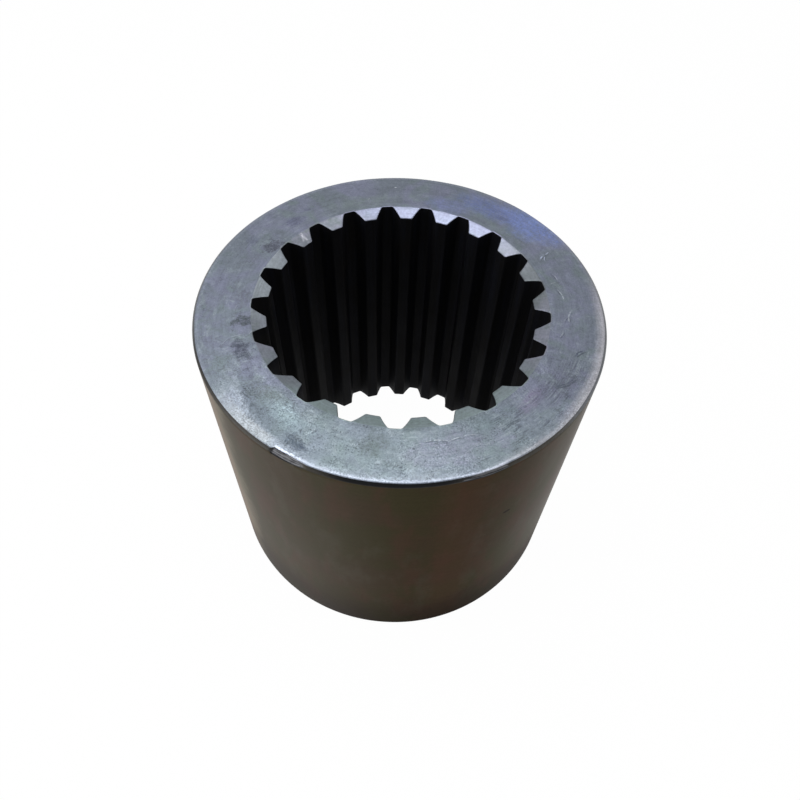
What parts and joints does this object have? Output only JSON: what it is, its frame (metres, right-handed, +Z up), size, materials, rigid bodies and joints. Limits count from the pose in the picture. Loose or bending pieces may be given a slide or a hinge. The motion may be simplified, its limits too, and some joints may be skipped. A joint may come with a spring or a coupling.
{
  "type": "splined coupling sleeve",
  "caption": "Rigid steel coupling sleeve: a plain thick-walled cylinder with internal involute spline teeth through its bore and a lead-in cone at the upper end.",
  "frame": {"origin": "centre of the lower end face, on the bore axis", "axes": "+Z up the bore axis; one tooth space of the spline is centred on -Y; +X to the right when seen from -Y"},
  "size_m": [0.076, 0.076, 0.065],
  "materials": {
    "steel": "machined steel with a film of old oil: mottled blue-grey end faces, dark olive-brown outer wall, nearly black bore"
  },
  "bodies": {
    "root": {"sleeve": "steel"}
  },
  "joints": []
}
